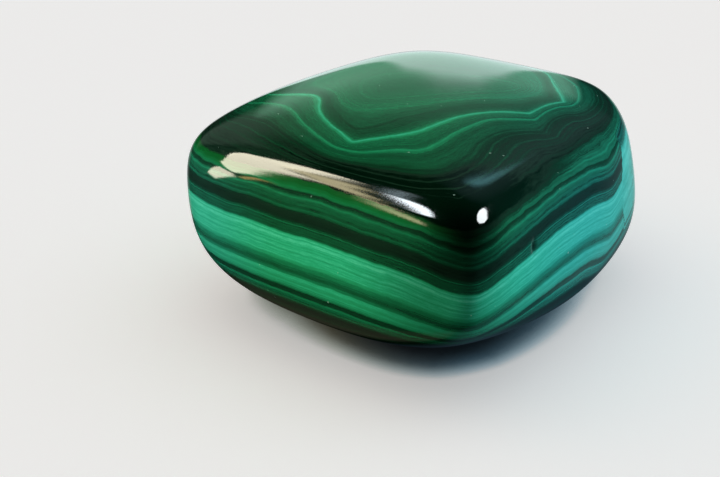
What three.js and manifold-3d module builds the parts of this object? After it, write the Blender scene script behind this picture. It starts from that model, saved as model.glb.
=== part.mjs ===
// A tumbled and polished malachite stone, in millimetres, +Z up, resting on the flat of its base.
// Its front corner points to -Y, and its left and right corners lie along X.
import * as THREE from 'three';
import { mergeVertices } from 'three/addons/utils/BufferGeometryUtils.js';
import Module from 'manifold-3d';

const wasm = await Module();
wasm.setup();

// The rough block before grinding, as half sizes from its centre.
const blankHalfWidth = 21;
const blankHalfDepth = 22.5;
const blankHalfHeight = 9.5;

// From the centre down to the flat that the stone rests on.
const baseDepth = 8.15;

// How crisply ground faces meet. A low value leaves a pebble, a high one a cut block.
const stoneRoundness = 7;
const frontEdgeRoundness = 15;

// Splits of each edge of the starting icosahedron, which set how fine the facets are.
const facetDetail = 18;

// Each ground face looks outward along an azimuth, which turns from +X towards +Y, and an
// elevation above level, both in degrees. Its distance is from the centre.

// The two sides that meet in the upright edge at the front.
const frontSides = [
  { name: 'front left side', azimuth: -127, elevation: 5.5, distance: 16.1 },
  { name: 'front right side', azimuth: -35, elevation: 4, distance: 16.4 },
];

// The faces that the rest of the stone was worn to.
const wornFaces = [
  { name: 'top', azimuth: 98, elevation: 87.8, distance: 10.45 },
  { name: 'bottom', azimuth: 0, elevation: -90, distance: 8.6 },
  { name: 'back right side', azimuth: 56, elevation: 0.5, distance: 23.1 },
  { name: 'back left side', azimuth: 131, elevation: 0, distance: 19.8 },
  { name: 'left corner', azimuth: 160.5, elevation: 0.5, distance: 20.65 },
  { name: 'underside of front left', azimuth: -126.5, elevation: -50, distance: 12.15 },
  { name: 'underside of front right', azimuth: -17.5, elevation: -45, distance: 16.5 },
  { name: 'underside of front edge', azimuth: -63.5, elevation: -57.5, distance: 11.7 },
  { name: 'underside of left corner', azimuth: 179, elevation: -42.5, distance: 18.1 },
  { name: 'underside of back left', azimuth: 134, elevation: -43, distance: 18 },
  { name: 'underside of back right', azimuth: 67, elevation: -42, distance: 18 },
];

// Two last cuts at the right end, each with a roundness of its own. The second leaves the one
// crisp edge of the stone, which runs down its right end.
const rightEndCuts = [
  { name: 'right corner', azimuth: 5, elevation: 14.5, distance: 21.65, roundness: 14 },
  { name: 'right end facet', azimuth: -21.5, elevation: 6.5, distance: 19.05, roundness: 40 },
];

const malachite = new THREE.MeshStandardMaterial({ color: '#0f6b48', roughness: 0.12, metalness: 0 });

/** Unit vector that a ground face looks along. */
function outwardOf({ azimuth, elevation }) {
  const turn = THREE.MathUtils.degToRad(azimuth);
  const rise = THREE.MathUtils.degToRad(elevation);
  const level = Math.cos(rise);
  return new THREE.Vector3(Math.cos(turn) * level, Math.sin(turn) * level, Math.sin(rise));
}

/** How far towards a face's plane a ray of length 1 gets, where 1 is on the plane. */
function reachTo(face, direction) {
  return Math.max(0, outwardOf(face).dot(direction)) / face.distance;
}

/** Several reaches merged into one, the more crisply the higher the roundness value is. */
function merged(reaches, roundness) {
  const total = reaches.reduce((sum, reach) => sum + reach ** roundness, 0);
  return total ** (1 / roundness);
}

/** Distance from the centre to the ground surface along a unit direction. */
function groundRadius(direction) {
  const front = merged(frontSides.map((side) => reachTo(side, direction)), frontEdgeRoundness);
  const worn = wornFaces.map((face) => reachTo(face, direction));
  let reach = merged([front, ...worn], stoneRoundness);
  for (const cut of rightEndCuts) {
    reach = merged([reach, reachTo(cut, direction)], cut.roundness);
  }
  return 1 / reach;
}

/** The rough blank with every point slid along its ray until it lies on the ground surface. */
function tumbledStone() {
  const sphere = new THREE.IcosahedronGeometry(1, facetDetail);
  sphere.deleteAttribute('normal');
  sphere.deleteAttribute('uv');
  const geometry = mergeVertices(sphere, 1e-5);
  geometry.scale(blankHalfWidth, blankHalfDepth, blankHalfHeight);
  const positions = geometry.getAttribute('position');
  const point = new THREE.Vector3();
  for (let i = 0; i < positions.count; i += 1) {
    point.fromBufferAttribute(positions, i).normalize();
    point.multiplyScalar(groundRadius(point));
    positions.setXYZ(i, point.x, point.y, point.z);
  }
  return geometry;
}

/** The closed solid that manifold-3d cuts, from a three.js geometry. */
function toManifold(geometry) {
  const mesh = new wasm.Mesh({
    numProp: 3,
    vertProperties: new Float32Array(geometry.getAttribute('position').array),
    triVerts: new Uint32Array(geometry.getIndex().array),
  });
  return new wasm.Manifold(mesh);
}

/** A three.js geometry of a solid that manifold-3d has cut. */
function toGeometry(solid) {
  const mesh = solid.getMesh();
  const geometry = new THREE.BufferGeometry();
  geometry.setAttribute('position', new THREE.BufferAttribute(mesh.vertProperties, 3));
  geometry.setIndex(new THREE.BufferAttribute(mesh.triVerts, 1));
  return geometry;
}

/** The stone with its underside cut to one true flat. */
function withFlatBase(geometry) {
  const slabSize = 4 * blankHalfDepth;
  const slab = wasm.Manifold.cube([slabSize, slabSize, slabSize], true);
  const belowBase = slab.translate([0, 0, -baseDepth - slabSize / 2]);
  return toGeometry(toManifold(geometry).subtract(belowBase));
}

/** The stone with its base on z = 0 and the middle of its box over the origin. */
function setDown(geometry) {
  geometry.computeBoundingBox();
  const middle = geometry.boundingBox.getCenter(new THREE.Vector3());
  geometry.translate(-middle.x, -middle.y, -geometry.boundingBox.min.z);
  geometry.computeVertexNormals();
  return geometry;
}

const stone = new THREE.Mesh(setDown(withFlatBase(tumbledStone())), malachite);
stone.name = 'malachite_stone';

const specimen = new THREE.Group();
specimen.add(stone);

export default specimen;
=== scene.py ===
"""A tumbled and polished malachite stone, with its growth layers, on a pale table.

The stone is one solid. Its finish is a pattern of growth layers, which follow a growth value that
is worked out at every vertex, in millimetres, and then read by the material.
"""

import logging
import math
from dataclasses import dataclass
from enum import Enum

import bmesh
import bpy
import numpy as np
from bpy.types import Material, Node, NodeSocket, NodeTree, Object
from mathutils import Euler, Matrix, Vector


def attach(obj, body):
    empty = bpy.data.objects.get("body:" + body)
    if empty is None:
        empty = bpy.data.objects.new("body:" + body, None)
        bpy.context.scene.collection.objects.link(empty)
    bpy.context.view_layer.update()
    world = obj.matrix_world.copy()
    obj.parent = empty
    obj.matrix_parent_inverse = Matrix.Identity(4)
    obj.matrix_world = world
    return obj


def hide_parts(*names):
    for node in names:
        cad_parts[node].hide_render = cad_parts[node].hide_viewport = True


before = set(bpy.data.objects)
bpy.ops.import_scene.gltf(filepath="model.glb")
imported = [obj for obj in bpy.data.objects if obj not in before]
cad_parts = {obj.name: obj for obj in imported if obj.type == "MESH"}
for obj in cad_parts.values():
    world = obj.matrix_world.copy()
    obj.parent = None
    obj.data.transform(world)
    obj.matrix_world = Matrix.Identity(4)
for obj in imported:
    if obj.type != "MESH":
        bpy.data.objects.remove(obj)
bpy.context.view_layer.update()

LOG = logging.getLogger("malachite")
MM = 0.001
TINY = 1e-12
NOISE_MIDDLE = 0.5
STONE_NODE = "malachite_stone"

# Settings that many nodes share.
TIMES = {"operation": "MULTIPLY"}
TIMES_PLUS = {"operation": "MULTIPLY_ADD"}
PLUS = {"operation": "ADD"}
MINUS = {"operation": "SUBTRACT"}
LARGER = {"operation": "MAXIMUM"}
SCALED = {"operation": "SCALE"}
FACING = {"operation": "DOT_PRODUCT"}
DISTANCE = {"operation": "DISTANCE"}
SMOOTH = {"interpolation_type": "SMOOTHSTEP"}
COLOURS = {"data_type": "RGBA"}

# The inputs of a Mix node that is set to colours.
MIX_SHARE = 0
MIX_FROM = 6
MIX_TO = 7

Pair = tuple[float, float]
Pairs = tuple[Pair, ...]
Place = tuple[float, float, float]


def linear(hex_colour: str) -> tuple[float, float, float, float]:
    """Turn an sRGB hex colour to linear light.

    Args:
        hex_colour: Six hex digits with a leading hash.

    Returns:
        Red, green, blue and an alpha of 1.
    """
    parts = [int(hex_colour[i : i + 2], 16) / 255 for i in (1, 3, 5)]
    light = [p / 12.92 if p <= 0.04045 else ((p + 0.055) / 1.055) ** 2.4 for p in parts]
    return (light[0], light[1], light[2], 1.0)


def add_node(
    tree: NodeTree,
    kind: str,
    settings: dict | None = None,
    inputs: dict | None = None,
    stops: list | None = None,
) -> Node:
    """Add one node with its settings, its constants and its links.

    Args:
        tree: The node tree that gets the node.
        kind: Blender's name for the kind of node, without the ShaderNode it starts with.
        settings: Properties of the node by name.
        inputs: Sockets by name or number, each with a constant, the output it is linked to, or a
            node whose first output in use it is linked to.
        stops: Colour stops for a ramp, as pairs of a place from 0 to 1 and a linear colour.

    Returns:
        The new node.
    """
    node = tree.nodes.new("ShaderNode" + kind)
    for name, value in (settings or {}).items():
        setattr(node, name, value)
    for name, value in (inputs or {}).items():
        if isinstance(value, Node):
            value = next(output for output in value.outputs if output.enabled)
        if isinstance(value, NodeSocket):
            tree.links.new(value, node.inputs[name])
        else:
            node.inputs[name].default_value = value
    if stops:
        elements = node.color_ramp.elements
        while len(elements) < len(stops):
            elements.new(1.0)
        for element, (place, colour) in zip(elements, stops):
            element.position = place
            element.color = colour
    return node


def empty_material(name: str) -> Material:
    """Make a material whose node tree has nothing in it yet.

    Args:
        name: The name of the finish.

    Returns:
        The new material.
    """
    made = bpy.data.materials.new(name)
    made.use_nodes = True
    made.node_tree.nodes.clear()
    return made


def add_object(name: str, mesh: bmesh.types.BMesh) -> Object:
    """Put a finished mesh into the scene.

    Args:
        name: The name of the object and of its mesh.
        mesh: The mesh, which is freed.

    Returns:
        The new object.
    """
    data = bpy.data.meshes.new(name)
    mesh.to_mesh(data)
    mesh.free()
    made = bpy.data.objects.new(name, data)
    bpy.context.scene.collection.objects.link(made)
    return made


def direction(azimuth: float, elevation: float) -> Vector:
    """Give the unit vector at an azimuth from +X towards +Y and an elevation, in degrees."""
    turn, rise = math.radians(azimuth), math.radians(elevation)
    return Vector((math.cos(turn) * math.cos(rise), math.sin(turn) * math.cos(rise), math.sin(rise)))


@dataclass(frozen=True)
class GroundFace:
    """A plane that the stone was worn to, in degrees and in millimetres from its centre."""

    azimuth: float
    elevation: float
    distance: float

    def reach(self, rays: np.ndarray) -> np.ndarray:
        """Give how far towards this face rays of length 1 get, where 1 is on its plane."""
        outward = np.array(direction(self.azimuth, self.elevation))
        return np.maximum(rays @ outward, 0.0) / self.distance


@dataclass(frozen=True)
class StoneShape:
    """The ground and tumbled shape, as planes that merge into each other with rounded edges."""

    front_sides: tuple[GroundFace, ...] = (
        GroundFace(-127, 5.5, 16.1),
        GroundFace(-35, 4, 16.4),
    )
    worn_faces: tuple[GroundFace, ...] = (
        GroundFace(98, 87.8, 10.45),
        GroundFace(0, -90, 8.6),
        GroundFace(56, 0.5, 23.1),
        GroundFace(131, 0, 19.8),
        GroundFace(160.5, 0.5, 20.65),
        GroundFace(-126.5, -50, 12.15),
        GroundFace(-17.5, -45, 16.5),
        GroundFace(-63.5, -57.5, 11.7),
        GroundFace(179, -42.5, 18.1),
        GroundFace(134, -43, 18),
        GroundFace(67, -42, 18),
    )
    right_corner: GroundFace = GroundFace(5, 14.5, 21.65)
    right_end_facet: GroundFace = GroundFace(-21.5, 6.5, 19.05)
    front_edge_roundness: float = 15
    stone_roundness: float = 7
    right_corner_roundness: float = 14
    facet_roundness: float = 40
    base_depth: float = 8.15

    def merged(self, reaches: list[np.ndarray], roundness: float) -> np.ndarray:
        """Merge the faces' reaches into one, the more crisply the higher the value is."""
        return sum(reach**roundness for reach in reaches) ** (1 / roundness)

    def points(self, rays: np.ndarray) -> np.ndarray:
        """Find where rays from the grinding centre leave the stone.

        Args:
            rays: Unit vectors, one in each row.

        Returns:
            Points in millimetres from the grinding centre, flat underneath.
        """
        front = self.merged([side.reach(rays) for side in self.front_sides], self.front_edge_roundness)
        worn = [face.reach(rays) for face in self.worn_faces]
        reach = self.merged([front, *worn], self.stone_roundness)
        reach = self.merged([reach, self.right_corner.reach(rays)], self.right_corner_roundness)
        reach = self.merged([reach, self.right_end_facet.reach(rays)], self.facet_roundness)
        flat_reach = np.maximum(-rays[:, 2], TINY) / self.base_depth
        return rays / np.maximum(reach, flat_reach)[:, None]


@dataclass(frozen=True)
class GuideLine:
    """One growth line round the top of the stone, as smooth arcs that meet in cusps.

    Places are in millimetres in the row frame, seen from above, and the growth value is what the
    pattern has along the line.
    """

    growth: float
    arcs: tuple[Pairs, ...]

    def outline(self, steps: int = 6) -> np.ndarray:
        """Trace the closed line with rounded arcs.

        Args:
            steps: Points between two of the given places.

        Returns:
            Places along the line, with the first one not repeated.
        """
        traced = []
        for arc in self.arcs:
            ends = [arc[0], *arc, arc[-1]]
            for before, start, end, after in zip(ends, ends[1:], ends[2:], ends[3:]):
                a, b, c, d = (np.array(p) for p in (before, start, end, after))
                for t in np.arange(steps) / steps:
                    slope = (c - a) * t
                    curve = (2 * a - 5 * b + 4 * c - d) * t**2
                    twist = (3 * b - a - 3 * c + d) * t**3
                    traced.append(b + (slope + curve + twist) / 2)
        return np.array(traced)


def distance_to(places: np.ndarray, outline: np.ndarray) -> np.ndarray:
    """Measure how far places are from a closed line.

    Args:
        places: Places in the plan, one in each row.
        outline: Places along the closed line.

    Returns:
        The shortest distance from each place to the line.
    """
    nearest = np.full(len(places), np.inf)
    for start, end in zip(outline, np.roll(outline, -1, axis=0)):
        run = end - start
        along = np.clip((places - start) @ run / max(run @ run, TINY), 0, 1)
        nearest = np.minimum(nearest, np.linalg.norm(places - start - along[:, None] * run, axis=1))
    return nearest


def inside_of(places: np.ndarray, outline: np.ndarray) -> np.ndarray:
    """Say which places a closed line goes round.

    Args:
        places: Places in the plan, one in each row.
        outline: Places along the closed line.

    Returns:
        True for each place inside the line.
    """
    inside = np.zeros(len(places), bool)
    x, y = places[:, 0], places[:, 1]
    for start, end in zip(outline, np.roll(outline, -1, axis=0)):
        spans = (start[1] > y) != (end[1] > y)
        if spans.any():
            crossing = start[0] + (y - start[1]) * (end[0] - start[0]) / (end[1] - start[1] + TINY)
            inside ^= spans & (x < crossing)
    return inside


@dataclass(frozen=True)
class GrowthField:
    """How far into the mineral's growth each point of the surface lies, in millimetres.

    The layers lie level round the sides, with small waves, and dip and rise at the right end. On
    the top they are cut at a low angle, so they run as closed lines with cusps.
    """

    edge_growth: float = 18.0
    edge_slope: float = 55.0
    level_up_to: float = 14.5
    lower_waves_to: float = 8.0
    upper_waves_from: float = 11.0
    calm_below_edge: float = 2.0
    calm_inside_rim: float = 6.0
    wave_smoothing: int = 9
    underside_height: float = 3.0
    underside_rate: float = 0.5
    fold_start: float = -2.5
    fold_curve: float = 4.0
    fold_middle: float = 12.5
    fold_half_height: float = 5.0
    fold_full: float = 12.0
    fold_end: float = 68.0
    fold_growth: float = 12.0
    fold_squeeze: float = 0.3
    fold_bottom: float = 6.5
    fold_bottom_fade: float = 1.5
    fold_top: float = 17.6
    fold_top_fade: float = 0.8
    rim_turn: float = 3.0
    rim_rise: float = 0.5
    lowest_rise: float = -80.0
    highest_rise: float = 89.5
    upper_waves: Pairs = (
        (-180, 0.2), (-160, 0.15), (-150, 0.0), (-136, 0.1), (-121, -0.15), (-107, 0.0), (-96, -0.1),
        (-87, 0.15), (-80, 0.4), (-72, 0.25), (-66, 0.15), (-47, -0.2), (-30, -0.1), (-21, 0.05),
        (-15, 0.5), (-9, 0.8), (-5, 0.3), (3, -0.6), (11, -1.1), (35, -1.2), (70, -0.6), (105, 0.3),
        (140, 0.5), (165, 0.2),
    )
    lower_waves: Pairs = (
        (-180, 0.1), (-140, 0.0), (-110, -0.1), (-88, 0.1), (-78, 0.45), (-66, 0.0), (-55, -0.4),
        (-40, -0.45), (-24, -0.2), (-15, 0.5), (-9, 1.0), (-3, 0.5), (4, -0.8), (12, -1.4), (40, -1.0),
        (80, 0.2), (120, 0.6), (155, 0.3),
    )
    top_lines: tuple[GuideLine, ...] = (
        GuideLine(21.0, ((
            (10.9, -4.2), (11.7, -1.7), (12.9, -0.2), (14.6, 0.4), (16.0, 2.2), (16.8, 5.2),
            (16.6, 9.0), (14.3, 13.2), (10.2, 16.8), (5.3, 19.8), (-0.3, 20.8), (-5.3, 17.8),
            (-9.2, 14.2), (-12.3, 10.7), (-15.1, 7.2), (-17.2, 3.4), (-16.9, 1.0), (-15.2, -0.3),
            (-13.6, -1.8), (-12.2, -4.4), (-10.4, -7.1), (-8.6, -9.5), (-5.5, -11.8), (-2.2, -13.9),
            (0.8, -14.9), (2.9, -13.8), (5.0, -10.5), (6.2, -6.9), (7.6, -5.1), (9.3, -4.4),
            (10.9, -4.2),
        ),)),
        GuideLine(24.0, ((
            (10.3, -1.3), (11.4, 0.7), (12.7, 2.0), (14.1, 2.6), (14.9, 4.6), (15.0, 8.4), (13.4, 12.6),
            (9.9, 16.4), (5.1, 19.3), (-0.2, 20.3), (-5.1, 17.3), (-8.9, 13.7), (-12.0, 10.2),
            (-14.7, 6.9), (-15.7, 5.0), (-14.6, 4.2), (-12.8, 3.2), (-11.5, 1.6), (-10.4, -1.8),
            (-8.8, -5.1), (-7.4, -7.4), (-5.2, -8.6), (-2.6, -8.2), (-0.2, -8.2), (1.4, -6.7),
            (3.5, -3.7), (6.0, -1.3), (8.2, -1.0), (10.3, -1.3),
        ),)),
        GuideLine(27.0, (
            (
                (13.4, 3.3), (12.9, 8.3), (12.5, 12.6), (9.6, 15.9), (4.9, 18.8), (-0.2, 19.8),
                (-4.9, 16.9), (-8.6, 13.3), (-11.7, 9.8), (-14.4, 7.2),
            ),
            (
                (-14.4, 7.2), (-12.8, 6.3), (-10.0, 5.8), (-9.2, 5.2), (-8.9, 4.1), (-8.9, 1.4),
                (-8.1, -1.6), (-7.0, -4.0), (-6.0, -6.4),
            ),
            (
                (-6.0, -6.4), (-4.5, -5.7), (-1.6, -4.6), (-0.2, -3.9), (1.1, -2.6), (3.7, -0.3),
                (6.2, 0.7), (8.2, 0.7), (10.0, 0.3),
            ),
            ((10.0, 0.3), (11.4, 2.1), (12.4, 2.9), (13.4, 3.3)),
        )),
        GuideLine(29.0, (
            (
                (12.2, 4.4), (12.4, 6.5), (11.9, 11.8), (9.2, 15.2), (4.6, 18.1), (-0.2, 19.1),
                (-4.7, 16.3), (-8.2, 12.7), (-10.9, 9.5), (-12.4, 7.8), (-10.6, 7.2), (-9.0, 6.2),
                (-8.2, 4.6), (-8.1, 3.0), (-7.3, -0.1), (-6.5, -2.6), (-5.6, -3.8),
            ),
            ((-5.6, -3.8), (-3.5, -2.9), (-1.4, -0.9), (2.2, 1.3), (5.5, 2.6), (9.3, 2.3)),
            ((9.3, 2.3), (10.9, 3.6), (12.2, 4.4)),
        )),
        GuideLine(31.0, ((
            (9.5, 4.6), (11.3, 5.9), (11.7, 8.9), (11.0, 12.4), (8.8, 14.5), (4.3, 17.3), (-0.2, 18.2),
            (-4.4, 15.5), (-7.6, 12.1), (-9.6, 9.4), (-8.6, 7.6), (-7.4, 5.9), (-7.0, 3.7), (-6.0, 1.9),
            (-3.9, 1.9), (-1.7, 2.4), (2.0, 3.6), (5.8, 4.6), (9.5, 4.6),
        ),)),
        GuideLine(37.0, ((
            (-5.2, 5.6), (-4.0, 4.3), (-1.5, 4.6), (2.0, 5.4), (5.5, 6.0), (9.0, 6.4), (9.4, 8.2),
            (6.0, 10.2), (1.0, 11.2), (-3.0, 11.0), (-5.0, 8.8), (-5.2, 5.6),
        ),)),
    )

    def wave(self, waves: Pairs, azimuths: np.ndarray) -> np.ndarray:
        """Read a wave round the stone.

        Args:
            waves: Azimuths in degrees, in order, each with a lift in millimetres.
            azimuths: Azimuths to read it at, in degrees.

        Returns:
            The lift at each azimuth, smoothed between the given ones.
        """
        turns = np.arange(-180, 180, 1.0)
        places, lifts = np.array(waves).T
        steps = np.interp(turns, places, lifts, period=360)
        weights = np.hanning(self.wave_smoothing)
        pad = self.wave_smoothing
        padded = np.concatenate([steps[-pad:], steps, steps[:pad]])
        smooth = np.convolve(padded, weights / weights.sum(), "same")[pad:-pad]
        return np.interp(azimuths, turns, smooth, period=360)

    def rims(self, shape: StoneShape) -> np.ndarray:
        """Trace the top edge and the rim of the underside round the stone.

        Args:
            shape: The ground shape.

        Returns:
            A row of azimuths, then rows with the radius and height of the top edge and the radius
            of the underside's rim at each azimuth, all from the grinding centre.
        """
        elevations = np.arange(self.lowest_rise, self.highest_rise, self.rim_rise)
        found = []
        for azimuth in np.arange(-180, 180, self.rim_turn):
            points = shape.points(np.array([direction(azimuth, rise) for rise in elevations]))
            radius, height = np.hypot(points[:, 0], points[:, 1]), points[:, 2]
            slope = np.degrees(np.arctan2(-np.diff(radius), np.diff(height)))
            edge = np.flatnonzero((elevations[:-1] > 0) & (slope >= self.edge_slope))[0]
            low = np.flatnonzero(height >= self.underside_height - shape.base_depth)[0]
            found.append((azimuth, radius[edge], height[edge], radius[low]))
        return np.array(found).T

    def at(self, points: np.ndarray, shape: StoneShape, shift: np.ndarray) -> np.ndarray:
        """Work out the growth value at points of the surface.

        Args:
            points: Points in millimetres from the grinding centre.
            shape: The ground shape that the points lie on.
            shift: From the grinding centre to the row frame, in millimetres.

        Returns:
            One growth value for each point.
        """
        turns, *rims = self.rims(shape)
        azimuths = np.degrees(np.arctan2(points[:, 1], points[:, 0]))
        edge_radius, edge_height, under_radius = (
            np.interp(azimuths, turns, rim, period=360) for rim in rims
        )
        radius = np.hypot(points[:, 0], points[:, 1])
        inward = np.maximum(under_radius - radius, 0.0)
        growth = self.around(azimuths, points[:, 2] + shift[2], edge_height + shift[2], inward)
        on_top = (radius < edge_radius) & (points[:, 2] > 0)
        rays = np.radians(turns)
        edge = np.column_stack([rims[0] * np.cos(rays), rims[0] * np.sin(rays)])
        growth[on_top] = self.on_top(points[on_top][:, :2] + shift[:2], edge + shift[:2])
        return growth

    def around(
        self, azimuths: np.ndarray, height: np.ndarray, edge_height: np.ndarray, inward: np.ndarray
    ) -> np.ndarray:
        """Work out the growth value round the sides and under the stone.

        Args:
            azimuths: The points' azimuths, in degrees.
            height: The points' heights above the base, in millimetres.
            edge_height: The height of the top edge at each point's azimuth.
            inward: How far inside the rim of the underside each point lies, in millimetres.

        Returns:
            One growth value for each point.
        """
        spread = (self.edge_growth - self.level_up_to) / (edge_height - self.level_up_to)
        spaced = self.level_up_to + (height - self.level_up_to) * spread
        level = np.where(height > self.level_up_to, spaced, height)
        change = self.upper_waves_from - self.lower_waves_to
        share = np.clip((level - self.lower_waves_to) / change, 0, 1)
        lift = self.wave(self.upper_waves, azimuths) * share
        lift += self.wave(self.lower_waves, azimuths) * (1 - share)
        lift *= np.clip((self.edge_growth - level) / self.calm_below_edge, 0, 1)
        lift *= np.clip(1 - inward / self.calm_inside_rim, 0, 1)
        growth = level + lift
        below = height < self.underside_height
        growth = np.where(below, growth - self.underside_rate * inward, growth)
        return self.folded(growth, azimuths, height)

    def folded(self, growth: np.ndarray, azimuths: np.ndarray, height: np.ndarray) -> np.ndarray:
        """Turn the layers up past the crease at the right end, where the pale ones run steeply.

        Args:
            growth: Growth values round the sides.
            azimuths: The points' azimuths, in degrees.
            height: The points' heights above the base, in millimetres.

        Returns:
            The growth values with the fold in them.
        """
        bend = ((height - self.fold_middle) / self.fold_half_height) ** 2
        start = self.fold_start + self.fold_curve * bend
        leaving = np.clip((self.fold_end - azimuths) / (self.fold_end - self.fold_full), 0, 1)
        share = np.where(azimuths > start, leaving * leaving * (3 - 2 * leaving), 0.0)
        share *= np.clip((self.fold_top - growth) / self.fold_top_fade, 0, 1)
        share *= np.clip((growth - self.fold_bottom) / self.fold_bottom_fade, 0, 1)
        steep = self.fold_growth + self.fold_squeeze * (growth - self.fold_growth)
        return growth + (steep - growth) * share

    def on_top(self, places: np.ndarray, edge: np.ndarray) -> np.ndarray:
        """Work out the growth value on the top, between one guide line and the next.

        Args:
            places: Places in the plan, in the row frame.
            edge: The closed line of the stone's top edge, in the row frame.

        Returns:
            One growth value for each place.
        """
        outlines = [edge, *(line.outline() for line in self.top_lines)]
        values = [self.edge_growth, *(line.growth for line in self.top_lines)]
        away = [distance_to(places, outline) for outline in outlines]
        growth = np.full(len(places), self.edge_growth)
        for i, outline in enumerate(outlines):
            if i + 1 < len(outlines):
                part = away[i] / np.maximum(away[i] + away[i + 1], TINY)
                value = values[i] + (values[i + 1] - values[i]) * part
            else:
                value = values[i] + away[i]
            within = inside_of(places, outline) if i else np.ones(len(places), bool)
            growth = np.where(within, value, growth)
        return growth


@dataclass(frozen=True)
class Layers:
    """The tone of each growth layer, from 0 for blackish green to 1 for the palest green.

    Each pair is a growth value in millimetres and a tone. Tones change evenly between pairs.
    """

    underside: Pairs = (
        (-9.0, 0.35), (-8.2, 0.7), (-7.6, 0.45), (-6.9, 0.2), (-6.2, 0.5), (-5.6, 0.8), (-5.2, 0.3),
        (-4.4, 0.1), (-3.8, 0.45), (-3.3, 0.7), (-2.9, 0.4), (-2.1, 0.15), (-1.5, 0.5), (-1.1, 0.75),
        (-0.6, 0.4), (0.2, 0.12), (0.9, 0.4), (1.3, 0.6), (1.8, 0.25), (2.4, 0.1), (3.2, 0.18),
        (3.9, 0.12),
    )
    lower: Pairs = (
        (3.9, 0.12), (4.3, 0.3), (4.7, 0.15), (5.4, 0.1), (5.7, 0.3), (6.0, 0.5), (6.3, 0.5),
        (6.6, 0.52), (6.75, 0.66), (6.9, 0.6), (7.02, 0.3), (7.5, 0.3), (7.66, 0.54), (7.8, 0.72),
        (8.0, 0.74), (8.2, 0.82), (8.32, 0.8), (8.48, 0.7), (8.62, 0.8), (8.8, 0.86), (9.0, 0.88),
        (9.14, 0.64), (9.4, 0.46), (9.7, 0.42), (9.95, 0.5), (10.0, 0.56), (10.3, 0.58), (10.5, 0.72),
        (10.8, 0.86), (11.0, 0.86),
    )
    middle: Pairs = (
        (11.0, 0.86), (11.4, 0.86), (11.5, 0.8), (11.62, 0.9), (11.9, 0.86), (11.98, 0.8), (12.1, 0.88),
        (12.4, 0.88), (12.52, 0.96), (12.66, 0.94), (12.8, 0.84), (12.94, 0.94), (13.08, 0.8),
        (13.2, 0.42), (13.5, 0.36), (13.8, 0.38), (13.94, 0.34), (14.02, 0.56), (14.1, 0.34),
        (14.26, 0.26), (14.38, 0.1), (15.12, 0.1), (15.26, 0.22), (15.42, 0.4), (15.52, 0.5),
        (15.64, 0.36), (15.88, 0.36), (16.1, 0.42), (16.34, 0.44), (16.48, 0.6), (16.72, 0.3),
        (16.94, 0.2),
    )
    upper: Pairs = (
        (16.94, 0.2), (17.04, 0.42), (17.2, 0.46), (17.34, 0.34), (17.5, 0.2), (17.7, 0.08),
        (18.2, 0.06), (18.52, 0.05), (18.64, 0.16), (18.74, 0.08), (19.3, 0.1), (19.42, 0.24),
        (19.54, 0.14), (20.0, 0.17), (20.1, 0.32), (20.22, 0.18), (20.6, 0.17), (20.9, 0.2),
        (21.0, 0.36),
    )
    shoulder: Pairs = (
        (21.0, 0.36), (21.1, 0.2), (21.4, 0.25), (21.54, 0.32), (21.9, 0.34), (22.3, 0.4), (22.8, 0.42),
        (23.2, 0.38), (23.5, 0.42), (23.7, 0.56), (23.9, 0.6), (24.0, 0.74), (24.14, 0.6), (24.4, 0.46),
        (24.8, 0.44), (25.2, 0.5), (25.8, 0.5), (26.3, 0.54), (26.6, 0.68), (26.86, 0.92),
        (27.04, 0.84), (27.22, 0.6),
    )
    inner: Pairs = (
        (27.22, 0.6), (27.5, 0.46), (28.0, 0.38), (28.5, 0.36), (28.86, 0.34), (29.1, 0.36),
        (29.5, 0.41), (29.8, 0.42), (30.3, 0.49), (30.9, 0.58), (31.3, 0.56), (31.9, 0.52),
        (32.4, 0.56), (32.9, 0.52), (33.4, 0.56), (33.9, 0.5), (34.4, 0.53), (35.0, 0.48), (35.6, 0.52),
        (36.2, 0.48), (36.8, 0.55), (37.4, 0.5), (38.0, 0.5), (39.0, 0.46),
    )

    def runs(self) -> tuple[Pairs, ...]:
        """Give the runs of layers in growth order."""
        return (self.underside, self.lower, self.middle, self.upper, self.shoulder, self.inner)


class Cast(Enum):
    """Which way the green leans: teal is partly the stone's own bluer green and partly painted cool
    light.
    """

    LEAF = "leaf"
    TEAL = "teal"


@dataclass(frozen=True)
class Region:
    """A part of the pattern whose tone is raised or lowered by its lift, with soft limits in millimetres.

    Each limit is where the region's share starts from 0 and where it reaches 1.
    """

    lift: float
    growth_from: Pair
    growth_to: Pair
    sideways: Pair
    outward: Pair | None = None


@dataclass(frozen=True)
class CornerShadeSpot:
    """A spot of painted shade round the stone's front corner, in the row frame and in millimetres."""

    middle: Place
    reach: float
    least_light: float


@dataclass(frozen=True)
class Reading:
    """What the finish reads at each point: its place and growth in millimetres, and the grain."""

    tree: NodeTree
    place: Node
    x: NodeSocket
    y: NodeSocket
    growth: Node
    grain: Node


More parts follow.
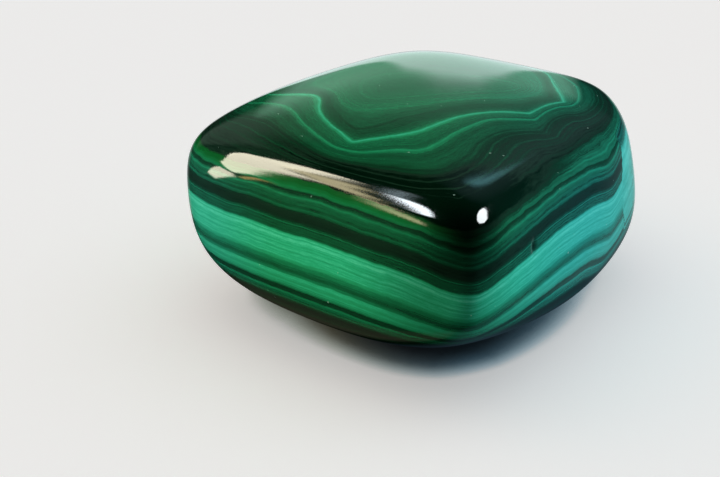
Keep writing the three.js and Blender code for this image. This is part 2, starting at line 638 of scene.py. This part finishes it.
@dataclass(frozen=True)
class Malachite:
    """Massive banded malachite, tumbled and polished.

    To the eye it is silky layers in greens from near black to pale, under a clear wet gloss. Its
    fibres are too fine to show, so the grain is drawn coarser than they are.
    """

    drift: float = 0.3
    drift_per_mm: float = 0.45
    lamina_spacing: float = 0.22
    lamina_detail: float = 3.0
    lamina_roughness: float = 0.65
    patches_per_mm: float = 0.3
    patch_limits: Pair = (0.35, 0.65)
    patch_depths: Pair = (0.12, 0.38)
    calm_growth: Pair = (29.5, 34.0)
    calm_depth: float = 0.35
    hair_spacing: float = 0.1
    hair_length: float = 1.1
    hair_roughness: float = 0.6
    hair_depth: float = 0.24
    grain_size: float = 0.16
    grain_roughness: float = 0.7
    grain_depth: float = 0.1
    # Teal towards the ends: at the right end it is partly the stone's own bluer green and partly painted
    # cool light from the right.
    right_end: Pair = (-1.0, 16.0)
    left_end: Pair = (-12.0, -20.0)
    left_coolness: float = 0.55
    cool_growth: Pair = (14.8, 17.4)
    upper_coolness: float = 0.45
    shade_azimuth: float = -127.0
    # Painted shade: the top's front-left edge, which faces the dark part of the room, is darkened.
    shaded: Region = Region(-0.2, (17.6, 18.4), (22.4, 21.2), (-14.0, -6.0), (4.0, 9.5))
    # Painted window light: just below the window's highlight on the left, the tone is lifted and the
    # green turned yellower.
    painted_window_light: Region = Region(0.14, (16.9, 17.3), (17.95, 17.75), (5.0, -3.0))
    green_end: Region = Region(0.3, (17.2, 17.5), (18.6, 18.15), (9.0, 14.5))
    # How far the painted window light turns the green to its yellower colour.
    painted_window_light_share: float = 0.55
    painted_window_light_colour: str = "#0a6420"
    # Painted shade: the colour darkens round the stone's front corner.
    corner_shade_spots: tuple[CornerShadeSpot, ...] = (
        CornerShadeSpot((-0.2, -22.5, 11.6), 10.0, 0.42),
        CornerShadeSpot((3.0, -21.4, 16.9), 5.5, 0.06),
    )
    # Painted shade inside the chip's pit, as deep as the pit goes.
    pit_shade_share: float = 0.9
    pit_shade_colour: str = "#0c1614"
    mark_spacing: float = 1.15
    mark_from: float = 0.62
    mark_share: float = 0.4
    mark_colour: str = "#b8d8c6"
    speck_stretch: Place = (1.0, 1.0, 1.0)
    speck_reach: float = 0.09
    scratch_stretch: Place = (1.3, 0.35, 0.8)
    scratch_reach: float = 0.05
    gloss: Pair = (0.03, 0.06)
    relief: float = 0.02
    relief_strength: float = 0.07
    ior: float = 1.7
    tones: tuple[float, ...] = (0.0, 0.1, 0.2, 0.32, 0.46, 0.6, 0.75, 0.86, 0.94, 1.0)
    leaf: tuple[str, ...] = (
        "#02150a", "#182f20", "#0f341f", "#124428", "#165f3a", "#1b7a4c", "#269964", "#2cab76",
        "#3cba89", "#52c89a",
    )
    teal: tuple[str, ...] = (
        "#0a2a23", "#1c3432", "#143a34", "#195048", "#226c61", "#24877a", "#31a294", "#3bafa1",
        "#48bbad", "#5ac6b8",
    )

    def read(self, tree: NodeTree) -> Reading:
        """Read the place, the growth value with a slow drift in it, and the grain.

        Args:
            tree: The material's node tree.

        Returns:
            What the other parts of the finish read.
        """
        metres = add_node(tree, "TexCoord").outputs["Object"]
        place = add_node(tree, "VectorMath", SCALED, {0: metres, "Scale": 1 / MM})
        across = add_node(tree, "SeparateXYZ", inputs={0: place})
        raw = add_node(tree, "Attribute", {"attribute_name": "growth"}).outputs["Fac"]
        drift = add_node(tree, "TexNoise", inputs={"Vector": place, "Scale": self.drift_per_mm})
        drifted = add_node(tree, "Math", TIMES_PLUS, {0: drift, 1: self.drift, 2: raw})
        growth = add_node(tree, "Math", MINUS, {0: drifted, 1: self.drift / 2})
        fibres = {"Vector": place, "Scale": 1 / self.grain_size, "Roughness": self.grain_roughness}
        grain = add_node(tree, "TexNoise", inputs=fibres)
        return Reading(tree, place, across.outputs["X"], across.outputs["Y"], growth, grain)

    def tone_of(self, read: Reading) -> Node:
        """Read the layers' tones, with one ramp for each run of layers.

        Args:
            read: What the finish reads.

        Returns:
            The tone, from 0 to 1.
        """
        tone = None
        for run in Layers().runs():
            low, high = run[0][0], run[-1][0]
            limits = {"Value": read.growth, "From Min": low, "From Max": high}
            place = add_node(read.tree, "MapRange", inputs=limits)
            stops = [((at - low) / (high - low), (value, value, value, 1.0)) for at, value in run]
            ramp = add_node(read.tree, "ValToRGB", inputs={"Fac": place}, stops=stops)
            if tone is None:
                tone = ramp
                continue
            past = add_node(read.tree, "Math", {"operation": "GREATER_THAN"}, {0: read.growth, 1: low})
            mixed = {MIX_SHARE: past, MIX_FROM: tone, MIX_TO: ramp}
            tone = add_node(read.tree, "Mix", COLOURS, mixed)
        return tone

    def lamina_depth(self, read: Reading) -> Node:
        """Work out how strongly the laminae show, in patches, and fainter high on the top.

        Args:
            read: What the finish reads.

        Returns:
            The share of the laminae that goes into the tone.
        """
        patches = {"Vector": read.place, "Scale": self.patches_per_mm}
        strengths = []
        for value, limits, depths in (
            (add_node(read.tree, "TexNoise", inputs=patches), self.patch_limits, self.patch_depths),
            (read.growth, self.calm_growth, (1.0, self.calm_depth)),
        ):
            inputs = {"Value": value, "From Min": limits[0], "From Max": limits[1]}
            inputs |= {"To Min": depths[0], "To Max": depths[1]}
            strengths.append(add_node(read.tree, "MapRange", inputs=inputs))
        return add_node(read.tree, "Math", TIMES, {0: strengths[0], 1: strengths[1]})

    def textured(self, read: Reading, tone: Node) -> Node:
        """Add laminae, dashed hair lines and grain to the tone.

        Args:
            read: What the finish reads.
            tone: The tone of the layers.

        Returns:
            The tone with its fine texture.
        """
        tree = read.tree
        lines = {"W": read.growth, "Scale": 1 / self.lamina_spacing, "Detail": self.lamina_detail}
        lines["Roughness"] = self.lamina_roughness
        laminae = add_node(tree, "TexNoise", {"noise_dimensions": "1D"}, lines)
        layered = add_node(tree, "CombineXYZ", inputs={0: read.x, 1: read.y, 2: read.growth})
        squeeze = (1 / self.hair_length, 1 / self.hair_length, 1 / self.hair_spacing)
        along_layers = add_node(tree, "VectorMath", TIMES, {0: layered, 1: squeeze})
        dashes = {"Vector": along_layers, "Scale": 1.0, "Roughness": self.hair_roughness}
        hairs = add_node(tree, "TexNoise", inputs=dashes)
        for texture, amount in (
            (laminae, self.lamina_depth(read)),
            (hairs, self.hair_depth),
            (read.grain, self.grain_depth),
        ):
            centred = add_node(tree, "Math", MINUS, {0: texture, 1: NOISE_MIDDLE})
            tone = add_node(tree, "Math", TIMES_PLUS, {0: centred, 1: amount, 2: tone})
        return tone

    def share_of(self, read: Reading, region: Region) -> Node:
        """Mark where the growth and the place are all past a region's limits.

        Args:
            read: What the finish reads.
            region: The region, whose outward limit is towards the shaded side.

        Returns:
            The share, from 0 to 1.
        """
        limits = [(read.growth, region.growth_from), (read.growth, region.growth_to)]
        if region.outward:
            shaded_side = {0: read.place, 1: direction(self.shade_azimuth, 0)}
            limits.append((add_node(read.tree, "VectorMath", FACING, shaded_side), region.outward))
        limits.append((read.x, region.sideways))
        shared = None
        for value, (start, full) in limits:
            inputs = {"Value": value, "From Min": start, "From Max": full}
            share = add_node(read.tree, "MapRange", SMOOTH, inputs)
            if shared is not None:
                share = add_node(read.tree, "Math", TIMES, {0: share, 1: shared})
            shared = share
        return shared

    def teal_and_painted_cool_light(self, read: Reading) -> Node:
        """Work out how far the green leans to teal, towards the ends and below the top; at the right end
        this is partly painted cool light and partly the stone's own bluer green.

        Args:
            read: What the finish reads.

        Returns:
            The share of teal, from 0 to 1.
        """
        ends = []
        for limits, most in ((self.right_end, 1.0), (self.left_end, self.left_coolness)):
            inputs = {"Value": read.x, "From Min": limits[0], "From Max": limits[1], "To Max": most}
            ends.append(add_node(read.tree, "MapRange", SMOOTH, inputs))
        at_ends = add_node(read.tree, "Math", LARGER, {0: ends[0], 1: ends[1]})
        start, end = self.cool_growth
        inputs = {"Value": read.growth, "From Min": start, "From Max": end, "To Min": 1.0}
        inputs["To Max"] = self.upper_coolness
        low_down = add_node(read.tree, "MapRange", SMOOTH, inputs)
        return add_node(read.tree, "Math", TIMES, {0: at_ends, 1: low_down})

    def coloured(self, read: Reading, tone: Node, painted_window_light: Node) -> Node:
        """Turn the tone to a green, leaf or teal, and yellower where window light is painted.

        Args:
            read: What the finish reads.
            tone: The tone, from 0 to 1.
            painted_window_light: The share of the painted window light.

        Returns:
            The colour.
        """
        casts = {}
        for cast, palette in ((Cast.LEAF, self.leaf), (Cast.TEAL, self.teal)):
            stops = [(at, linear(colour)) for at, colour in zip(self.tones, palette)]
            casts[cast] = add_node(read.tree, "ValToRGB", inputs={"Fac": tone}, stops=stops)
        mixed = {MIX_SHARE: self.teal_and_painted_cool_light(read), MIX_FROM: casts[Cast.LEAF], MIX_TO: casts[Cast.TEAL]}
        green = add_node(read.tree, "Mix", COLOURS, mixed)
        share = add_node(read.tree, "Math", TIMES, {0: painted_window_light, 1: self.painted_window_light_share})
        mixed = {MIX_SHARE: share, MIX_FROM: green, MIX_TO: linear(self.painted_window_light_colour)}
        return add_node(read.tree, "Mix", COLOURS, mixed)

    def with_painted_shade(self, read: Reading, colour: Node) -> Node:
        """Darken the colour with painted shade round the front corner and inside the pit.

        Args:
            read: What the finish reads.
            colour: The colour.

        Returns:
            The darkened colour.
        """
        for spot in self.corner_shade_spots:
            away = add_node(read.tree, "VectorMath", DISTANCE, {0: read.place, 1: spot.middle})
            inputs = {"Value": away, "From Max": spot.reach, "To Min": spot.least_light}
            light = add_node(read.tree, "MapRange", SMOOTH, inputs)
            colour = add_node(read.tree, "VectorMath", SCALED, {0: colour, "Scale": light})
        # Painted shade inside the chip's pit.
        pit = add_node(read.tree, "Attribute", {"attribute_name": "pit"}).outputs["Fac"]
        share = add_node(read.tree, "Math", TIMES, {0: pit, 1: self.pit_shade_share})
        mixed = {MIX_SHARE: share, MIX_FROM: colour, MIX_TO: linear(self.pit_shade_colour)}
        return add_node(read.tree, "Mix", COLOURS, mixed)

    def marked(self, read: Reading, colour: Node) -> Node:
        """Scatter faint pale specks and scratches over the colour.

        Args:
            read: What the finish reads.
            colour: The colour.

        Returns:
            The colour with its marks.
        """
        for stretch, reach in (
            (self.speck_stretch, self.speck_reach),
            (self.scratch_stretch, self.scratch_reach),
        ):
            stretched = add_node(read.tree, "VectorMath", TIMES, {0: read.place, 1: stretch})
            spread = {"Vector": stretched, "Scale": 1 / self.mark_spacing}
            cells = add_node(read.tree, "TexVoronoi", inputs=spread)
            kept = add_node(read.tree, "SeparateColor", inputs={"Color": cells.outputs["Color"]})
            inputs = {"Value": kept, "From Min": self.mark_from, "To Max": reach}
            size = add_node(read.tree, "MapRange", inputs=inputs)
            inside = add_node(read.tree, "Math", {"operation": "LESS_THAN"}, {0: cells, 1: size})
            faint = add_node(read.tree, "Math", TIMES, {0: inside, 1: self.mark_share})
            mixed = {MIX_SHARE: faint, MIX_FROM: colour, MIX_TO: linear(self.mark_colour)}
            colour = add_node(read.tree, "Mix", COLOURS, mixed)
        return colour

    def material(self) -> Material:
        """Build the finish.

        Returns:
            The material.
        """
        made = empty_material("polished_malachite")
        tree = made.node_tree
        read = self.read(tree)
        tone = self.textured(read, self.tone_of(read))
        # The regions paint shade on the top's front-left edge and window light below the highlight, and
        # lighten the green at the right end.
        regions = (self.shaded, self.painted_window_light, self.green_end)
        shares = {region: self.share_of(read, region) for region in regions}
        for region, share in shares.items():
            tone = add_node(tree, "Math", TIMES_PLUS, {0: share, 1: region.lift, 2: tone})
        colour = self.coloured(read, tone, shares[self.painted_window_light])
        colour = self.marked(read, self.with_painted_shade(read, colour))
        least, most = self.gloss
        inputs = {"Value": read.grain, "To Min": least, "To Max": most}
        gloss = add_node(tree, "MapRange", inputs=inputs)
        fine = {"Strength": self.relief_strength, "Distance": self.relief * MM, "Height": read.grain}
        relief = add_node(tree, "Bump", inputs=fine)
        surface = {"Base Color": colour, "Roughness": gloss, "IOR": self.ior, "Normal": relief}
        shader = add_node(tree, "BsdfPrincipled", inputs=surface)
        add_node(tree, "OutputMaterial", inputs={"Surface": shader})
        return made


@dataclass(frozen=True)
class Chip:
    """A small pit in the polish, pressed into the mesh and darkened inside with painted shade, in the row
    frame.
    """

    place: Place = (9.08, -15.94, 13.6)
    half_width: float = 0.42
    half_height: float = 0.8
    fades_out_at: float = 1.2
    depth: float = 0.22

    def share(self, points: np.ndarray) -> np.ndarray:
        """Tell how far into the pit each point lies.

        Args:
            points: Points in the row frame, in millimetres.

        Returns:
            One share for each point, from 0 outside to 1 at the deepest.
        """
        away = points - np.array(self.place)
        sideways = np.hypot(away[:, 0], away[:, 1]) / self.half_width
        return np.clip(self.fades_out_at - np.hypot(sideways, away[:, 2] / self.half_height), 0, 1)


@dataclass(frozen=True)
class Specimen:
    """The stone itself, as a fine mesh over the CAD solid."""

    half_width: float = 18.0
    half_depth: float = 18.5
    half_height: float = 9.0
    turn: float = -35.0
    splits_along: int = 150
    splits_up: int = 76
    weld_within: float = 0.01

    def blank(self) -> bmesh.types.BMesh:
        """Make the rough blank as a closed box of fine grids, turned to the stone's sides.

        Returns:
            The blank, in millimetres from the grinding centre.
        """
        mesh = bmesh.new()
        size = (self.half_width, self.half_depth, self.half_height)
        splits = (self.splits_along, self.splits_along, self.splits_up)
        for side in range(3):
            first, second = (side + 1) % 3, (side + 2) % 3
            axes = [[float(row == axis) for axis in (first, second, side)] for row in range(3)]
            scale = Matrix.Diagonal((size[first], size[second], 1.0, 1.0))
            for sign in (-1, 1):
                lift = Matrix.Translation((0, 0, sign * size[side]))
                bmesh.ops.create_grid(
                    mesh,
                    x_segments=splits[first],
                    y_segments=splits[second],
                    size=1.0,
                    matrix=Matrix(axes).to_4x4() @ lift @ scale,
                )
        bmesh.ops.remove_doubles(mesh, verts=mesh.verts, dist=self.weld_within)
        bmesh.ops.recalc_face_normals(mesh, faces=mesh.faces)
        turned = Matrix.Rotation(math.radians(self.turn), 3, "Z")
        bmesh.ops.rotate(mesh, verts=mesh.verts, matrix=turned)
        return mesh

    def build(self, shape: StoneShape, field: GrowthField) -> Object:
        """Grind the blank to the stone's shape and note its growth values.

        Args:
            shape: The ground shape.
            field: The growth field.

        Returns:
            The stone, in the row frame.
        """
        stone = add_object("stone", self.blank())
        mesh = stone.data
        rays = np.empty(len(mesh.vertices) * 3)
        mesh.vertices.foreach_get("co", rays)
        rays = rays.reshape(-1, 3)
        rays /= np.linalg.norm(rays, axis=1)[:, None]
        points = shape.points(rays)
        low, high = points.min(0), points.max(0)
        shift = np.array([-(low[0] + high[0]) / 2, -(low[1] + high[1]) / 2, -low[2]])
        chip = Chip()
        pitted = chip.share(points + shift)
        ground = points + shift - rays * (pitted * chip.depth)[:, None]
        mesh.vertices.foreach_set("co", (ground * MM).ravel())
        for name, values in (("pit", pitted), ("growth", field.at(points, shape, shift))):
            mesh.attributes.new(name, "FLOAT", "POINT").data.foreach_set("value", values)
        mesh.polygons.foreach_set("use_smooth", [True] * len(mesh.polygons))
        mesh.update()
        return stone


@dataclass(frozen=True)
class Table:
    """The matt white laminate that the stone stands on, lit from below as well.

    To the eye it is an even pale surface with no gloss. Close under the stone little light gets
    in, so a dark contact shadow shows there, brownish to the left and bluish to the right.
    """

    half_size: float = 3.0
    light_from_below: float = 0.4
    roughness: float = 0.9
    laminate_colour: str = "#efeeee"
    shadow_samples: int = 16
    shadow_reach: float = 3.0
    shadow_limits: Pair = (0.25, 0.95)
    shadow_middle: Place = (4.0, -13.0, 0.0)
    shadow_opens: Pair = (3.0, 18.0)
    shadow_opening: float = 0.45
    warm_to_cool: Pair = (-8.0, 4.0)
    warm_shadow: tuple[tuple[float, str], ...] = (
        (0.0, "#1a1816"),
        (0.35, "#5c5a4a"),
        (0.65, "#c0c6be"),
        (1.0, "#ffffff"),
    )
    cool_shadow: tuple[tuple[float, str], ...] = (
        (0.0, "#141c22"),
        (0.35, "#4a6676"),
        (0.65, "#a8c2ce"),
        (1.0, "#ffffff"),
    )

    def light_let_in(self, tree: NodeTree, place: NodeSocket) -> Node:
        """Work out how much light gets in under the stone, more of it farther from the corner.

        Args:
            tree: The table's node tree.
            place: The place on the table, in metres.

        Returns:
            The share of the light, from 0 to 1.
        """
        samples = {"samples": self.shadow_samples}
        sky = add_node(tree, "AmbientOcclusion", samples, {"Distance": self.shadow_reach * MM})
        middle = [length * MM for length in self.shadow_middle]
        away = add_node(tree, "VectorMath", DISTANCE, {0: place, 1: middle})
        near, far = self.shadow_opens
        inputs = {"Value": away, "From Min": near * MM, "From Max": far * MM}
        inputs["To Max"] = self.shadow_opening
        opening = add_node(tree, "MapRange", inputs=inputs)
        opened = add_node(tree, "Math", PLUS, {0: sky.outputs["AO"], 1: opening})
        dark, light = self.shadow_limits
        return add_node(tree, "MapRange", inputs={"Value": opened, "From Min": dark, "From Max": light})

    def contact_shadow(self, tree: NodeTree) -> Node:
        """Colour the light that gets in under the stone.

        Args:
            tree: The table's node tree.

        Returns:
            The colour that the table's light is multiplied by, white away from the stone.
        """
        place = add_node(tree, "TexCoord").outputs["Object"]
        lit = self.light_let_in(tree, place)
        x = add_node(tree, "SeparateXYZ", inputs={0: place}).outputs["X"]
        warm, cool = self.warm_to_cool
        inputs = {"Value": x, "From Min": warm * MM, "From Max": cool * MM}
        rightward = add_node(tree, "MapRange", inputs=inputs)
        shades = []
        for shadow in (self.warm_shadow, self.cool_shadow):
            stops = [(at, linear(colour)) for at, colour in shadow]
            shades.append(add_node(tree, "ValToRGB", inputs={"Fac": lit}, stops=stops))
        mixed = {MIX_SHARE: rightward, MIX_FROM: shades[0], MIX_TO: shades[1]}
        return add_node(tree, "Mix", COLOURS, mixed)

    def build(self) -> Object:
        """Make the table top.

        Returns:
            The table top, level with the stone's base.
        """
        mesh = bmesh.new()
        bmesh.ops.create_grid(mesh, x_segments=2, y_segments=2, size=self.half_size)
        top = add_object("table_top", mesh)
        made = empty_material("matt_white_laminate")
        tree = made.node_tree
        shade = self.contact_shadow(tree)
        laminate = linear(self.laminate_colour)[:3]
        colour = add_node(tree, "VectorMath", TIMES, {0: shade, 1: laminate})
        matt = {"Base Color": colour, "Roughness": self.roughness, "Specular IOR Level": 0.0}
        glow = {"Emission Color": shade, "Emission Strength": self.light_from_below}
        shader = add_node(tree, "BsdfPrincipled", inputs=matt | glow)
        add_node(tree, "OutputMaterial", inputs={0: shader})
        top.data.materials.append(made)
        top.visible_glossy = False
        top.visible_diffuse = False
        return top


@dataclass(frozen=True)
class Pane:
    """A bright clear ribbon that only the polish shows, between two lines of directions.

    Directions are azimuth and elevation in degrees, as seen from the stone.
    """

    name: str
    near_line: Pairs
    far_line: Pairs
    colour: str
    strength: float
    soft: float = 0.04
    distance: float = 2.0
    splits_along: int = 32
    splits_across: int = 16

    def place(self, along: float, across: float) -> Vector:
        """Find a point of the ribbon.

        Args:
            along: Its share of the way along the two lines.
            across: Its share of the way from the near line to the far one.

        Returns:
            The point, in metres from the stone.
        """
        ends = []
        for line in (self.near_line, self.far_line):
            at = np.linspace(0, 1, len(line))
            ends.append([np.interp(along, at, angles) for angles in np.array(line).T])
        azimuth, elevation = (near + (far - near) * across for near, far in zip(*ends))
        return direction(azimuth, elevation) * self.distance

    def glow(self) -> Material:
        """Give the ribbon's light, which adds to what is seen through it.

        Returns:
            The material, dark and clear at the ribbon's edges.
        """
        made = empty_material(self.name + "_glow")
        tree = made.node_tree
        edge = add_node(tree, "Attribute", {"attribute_name": "fade"}).outputs["Fac"]
        strength = add_node(tree, "Math", TIMES, {0: edge, 1: self.strength})
        glow = add_node(tree, "Emission", inputs={"Color": linear(self.colour), "Strength": strength})
        clear = add_node(tree, "BsdfTransparent")
        both = add_node(tree, "AddShader", inputs={0: glow, 1: clear})
        add_node(tree, "OutputMaterial", inputs={0: both})
        return made

    def build(self) -> Object:
        """Make the ribbon, fading at its edges.

        Returns:
            The ribbon, seen in gloss alone.
        """
        mesh = bmesh.new()
        splits = {"x_segments": self.splits_along, "y_segments": self.splits_across}
        bmesh.ops.create_grid(mesh, size=1.0, **splits)
        fade = mesh.verts.layers.float.new("fade")
        for corner in mesh.verts:
            along, across = (corner.co.x + 1) / 2, (corner.co.y + 1) / 2
            inset = min(along, 1 - along, across, 1 - across)
            corner[fade] = min(1.0, inset / self.soft)
            corner.co = self.place(along, across)
        pane = add_object(self.name, mesh)
        pane.data.materials.append(self.glow())
        pane.visible_camera = False
        pane.visible_diffuse = False
        pane.visible_shadow = False
        pane.visible_transmission = False
        return pane


@dataclass(frozen=True)
class Glow:
    """A soft part of the room's light, brightest towards one direction in degrees."""

    azimuth: float
    elevation: float
    narrowness: float
    colour: str
    strength: float


@dataclass(frozen=True)
class SideLamp:
    """A soft lamp beside the stone that lights the stone alone."""

    name: str
    azimuth: float
    elevation: float
    colour: str
    power: float
    size: float = 0.8
    distance: float = 1.2

    def build(self, lit: bpy.types.Collection) -> Object:
        """Make the lamp.

        Args:
            lit: The collection of what the lamp lights.

        Returns:
            The lamp, aimed at the stone and not mirrored by its polish.
        """
        data = bpy.data.lights.new(self.name, "AREA")
        data.size = self.size
        data.color = linear(self.colour)[:3]
        data.energy = self.power
        lamp = bpy.data.objects.new(self.name, data)
        towards = direction(self.azimuth, self.elevation)
        lamp.location = towards * self.distance
        lamp.rotation_euler = towards.to_track_quat("Z", "Y").to_euler()
        lamp.visible_glossy = False
        lamp.visible_camera = False
        lamp.light_linking.receiver_collection = lit
        bpy.context.scene.collection.objects.link(lamp)
        return lamp


@dataclass(frozen=True)
class Studio:
    """The soft light round the stone and what its polish mirrors."""

    glows: tuple[Glow, ...] = (
        Glow(0, 90, 3, "#ffffff", 0.8),
        Glow(165, 35, 6, "#ffd9b4", 0.8),
        Glow(15, 35, 6, "#c4ecff", 0.8),
    )
    lamps: tuple[SideLamp, ...] = (
        SideLamp("left_lamp", -178, 8, "#f8fff0", 19.5),
        SideLamp("right_lamp", 9, 8, "#d8f0ff", 24.5),
        SideLamp("front_lamp", -84, 0, "#e8fff8", 8.0),
    )
    panes: tuple[Pane, ...] = (
        Pane(
            "window",
            (
                (172, 27), (168, 33), (160, 39), (145, 44.5), (131, 47), (126, 49), (121, 49),
                (116, 48.5), (114, 49.5),
            ),
            (
                (186.5, 17), (187.5, 23), (187.5, 28), (185.5, 32), (182.5, 37), (174, 44.5),
                (166, 49.5), (159, 52.5), (122, 52.5),
            ),
            "#fff6dc", 9.0, soft=0.02,
        ),
        Pane(
            "window_side",
            ((174, -2), (175, 6), (176, 13), (178, 19)),
            ((182, -4), (187, 4), (189.5, 11), (187, 16.5)),
            "#fff6dc", 8.0, soft=0.1,
        ),
        Pane(
            "window_rim",
            ((189.2, 12), (189.4, 18), (189.4, 25)),
            ((191.2, 12), (191.4, 18), (191.2, 25)),
            "#ffd884", 4.0, soft=0.2,
        ),
        Pane(
            "window_tail",
            ((124, 53.5), (135, 55.5), (158, 55), (176, 49.5), (187, 43), (191.5, 39.5), (196, 33.5)),
            ((128, 51), (150, 53), (168, 51.5), (177, 48), (186, 41.5), (193, 35), (196.8, 31)),
            "#fff0c0", 5.0, soft=0.12,
        ),
        Pane(
            "bright_sky",
            ((124, 54.4), (132, 56), (141, 57), (152, 57), (163, 55.7), (172, 53)),
            ((125, 55.4), (133, 57.8), (142, 59.2), (154, 59.2), (165, 57.6), (173, 54.5)),
            "#eef8ff", 18.0, soft=0.1,
        ),
        Pane(
            "sky_edge",
            ((104, 46), (110, 49), (116, 51.6), (122, 53.6), (127, 55)),
            ((105, 47.2), (111, 50.2), (117, 52.8), (123, 54.8), (128, 56.4)),
            "#dcf4ff", 3.0, soft=0.15,
        ),
        Pane(
            "small_lamp",
            ((20, 36), (26, 34), (34, 37), (44, 39), (53, 40.5)),
            ((18, 46), (25, 51), (34, 52), (44, 50), (53, 44)),
            "#f6fdff", 12.0,
        ),
        Pane(
            "pale_wall",
            ((101, -16), (95, -14), (91, -12), (88, -12), (86.5, -12), (85, -12), (82, -12), (79, -14)),
            ((97, -1), (93, 4.5), (90.8, 9.5), (88.9, 16.4), (87.1, 18.2), (85.5, 18), (84, 15), (81, 1)),
            "#f4f4ff", 1.1, soft=0.06,
        ),
        Pane(
            "wall_haze",
            ((98, -8), (93, -8), (88, -8), (83, -8), (78, -8)),
            ((98, 17.5), (93, 19), (88, 19.8), (83, 19.5), (78, 18.5)),
            "#b8f4d8", 0.7, soft=0.12,
        ),
        Pane(
            "table_behind",
            ((62, -8), (75, -8), (90, -8), (110, -9), (130, -10)),
            ((62, -28), (75, -28), (90, -28), (110, -29), (130, -30)),
            "#f2fffa", 0.42, soft=0.25,
        ),
        Pane(
            "left_haze",
            ((85, 12), (87, 18), (92, 23), (97, 28), (101, 33), (107, 40)),
            ((135, 2), (135, 10), (135, 20), (135, 28), (132, 35), (126, 42)),
            "#dcffe6", 0.16, soft=0.15,
        ),
        Pane(
            "right_haze",
            ((92, 16), (84, 17), (74, 17), (64, 16), (52, 14)),
            ((90, 30), (83, 38), (74, 41), (64, 41), (50, 36)),
            "#c8f0ff", 0.09, soft=0.35,
        ),
        Pane(
            "far_window",
            ((84, 25), (81, 26.7), (79, 27.9), (76, 29), (73, 30)),
            ((84, 27), (81, 28.6), (79, 29.8), (76, 31), (73, 32)),
            "#8ce0e8", 1.3, soft=0.35,
        ),
        Pane(
            "right_wall",
            ((24, -2), (40, -3), (56, -4), (76, -6), (92, -8)),
            ((24, -41), (40, -40), (56, -38), (76, -34), (92, -30)),
            "#d8fff8", 0.32, soft=0.5,
        ),
        Pane(
            "warm_table",
            ((94, -30), (102, -34), (112, -39), (125, -45), (140, -52)),
            ((96, -88), (112, -88), (130, -88), (150, -88), (170, -88)),
            "#ffeec8", 0.036, soft=0.15,
        ),
        Pane(
            "cool_table",
            ((92, -20), (78, -21), (62, -22), (46, -24), (30, -30)),
            ((92, -88), (60, -88), (40, -88), (20, -88), (0, -88)),
            "#a4dcff", 0.05, soft=0.15,
        ),
    )

    def sky(self) -> bpy.types.World:
        """Light the room softly from all round, with nothing for the polish to mirror.

        Returns:
            The world.
        """
        world = bpy.data.worlds.new("room")
        world.use_nodes = True
        tree = world.node_tree
        tree.nodes.clear()
        towards = add_node(tree, "TexCoord").outputs["Generated"]
        total = (0.0, 0.0, 0.0)
        for glow in self.glows:
            brightest = direction(glow.azimuth, glow.elevation)
            facing = add_node(tree, "VectorMath", FACING, {0: towards, 1: brightest})
            ahead = add_node(tree, "Math", LARGER, {0: facing, 1: 0.0})
            spread = add_node(tree, "Math", {"operation": "POWER"}, {0: ahead, 1: glow.narrowness})
            light = [channel * glow.strength for channel in linear(glow.colour)[:3]]
            total = add_node(tree, "VectorMath", TIMES_PLUS, {0: spread, 1: light, 2: total})
        background = add_node(tree, "Background", inputs={"Color": total})
        add_node(tree, "OutputWorld", inputs={0: background})
        world.cycles_visibility.glossy = False
        return world

    def build(self, stone: Object) -> None:
        """Light the scene.

        Args:
            stone: The stone, which the side lamps light alone.
        """
        lit = bpy.data.collections.new("lit_by_side_lamps")
        lit.objects.link(stone)
        for lamp in self.lamps:
            lamp.build(lit)
        for pane in self.panes:
            pane.build()
        bpy.context.scene.world = self.sky()
        bpy.context.scene.view_settings.view_transform = "Standard"


@dataclass(frozen=True)
class StillCamera:
    """A close camera straight in front, with a portrait lens, in millimetres and degrees."""

    aim: Place = (-5.31, -1.31, 6.75)
    elevation: float = 27.45
    distance: float = 148.0
    lens: float = 80.0
    sensor: float = 36.0
    nearest: float = 10.0

    def build(self) -> Object:
        """Set up the camera.

        Returns:
            The scene's camera.
        """
        data = bpy.data.cameras.new("camera")
        data.lens = self.lens
        data.sensor_width = self.sensor
        data.clip_start = self.nearest * MM
        camera = bpy.data.objects.new("camera", data)
        camera.location = (Vector(self.aim) + direction(-90, self.elevation) * self.distance) * MM
        camera.rotation_euler = Euler((math.radians(90 - self.elevation), 0, 0))
        bpy.context.scene.collection.objects.link(camera)
        bpy.context.scene.camera = camera
        return camera


def main() -> None:
    """Build the stone, its table, its light and the camera, in that order."""
    logging.basicConfig(level=logging.INFO, format="%(name)s: %(message)s")
    stone = Specimen().build(StoneShape(), GrowthField())
    stone.data.materials.append(Malachite().material())
    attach(stone, "root")
    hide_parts(STONE_NODE)
    LOG.info("stone with %d vertices and %d faces", len(stone.data.vertices), len(stone.data.polygons))
    table = Table().build()
    LOG.info("%s", table.name)
    studio = Studio()
    studio.build(stone)
    LOG.info("%d lamps and %d panes", len(studio.lamps), len(studio.panes))
    camera = StillCamera().build()
    LOG.info("%s with a lens of %g mm", camera.name, camera.data.lens)
    bpy.context.view_layer.update()


if __name__ == "__main__":
    main()
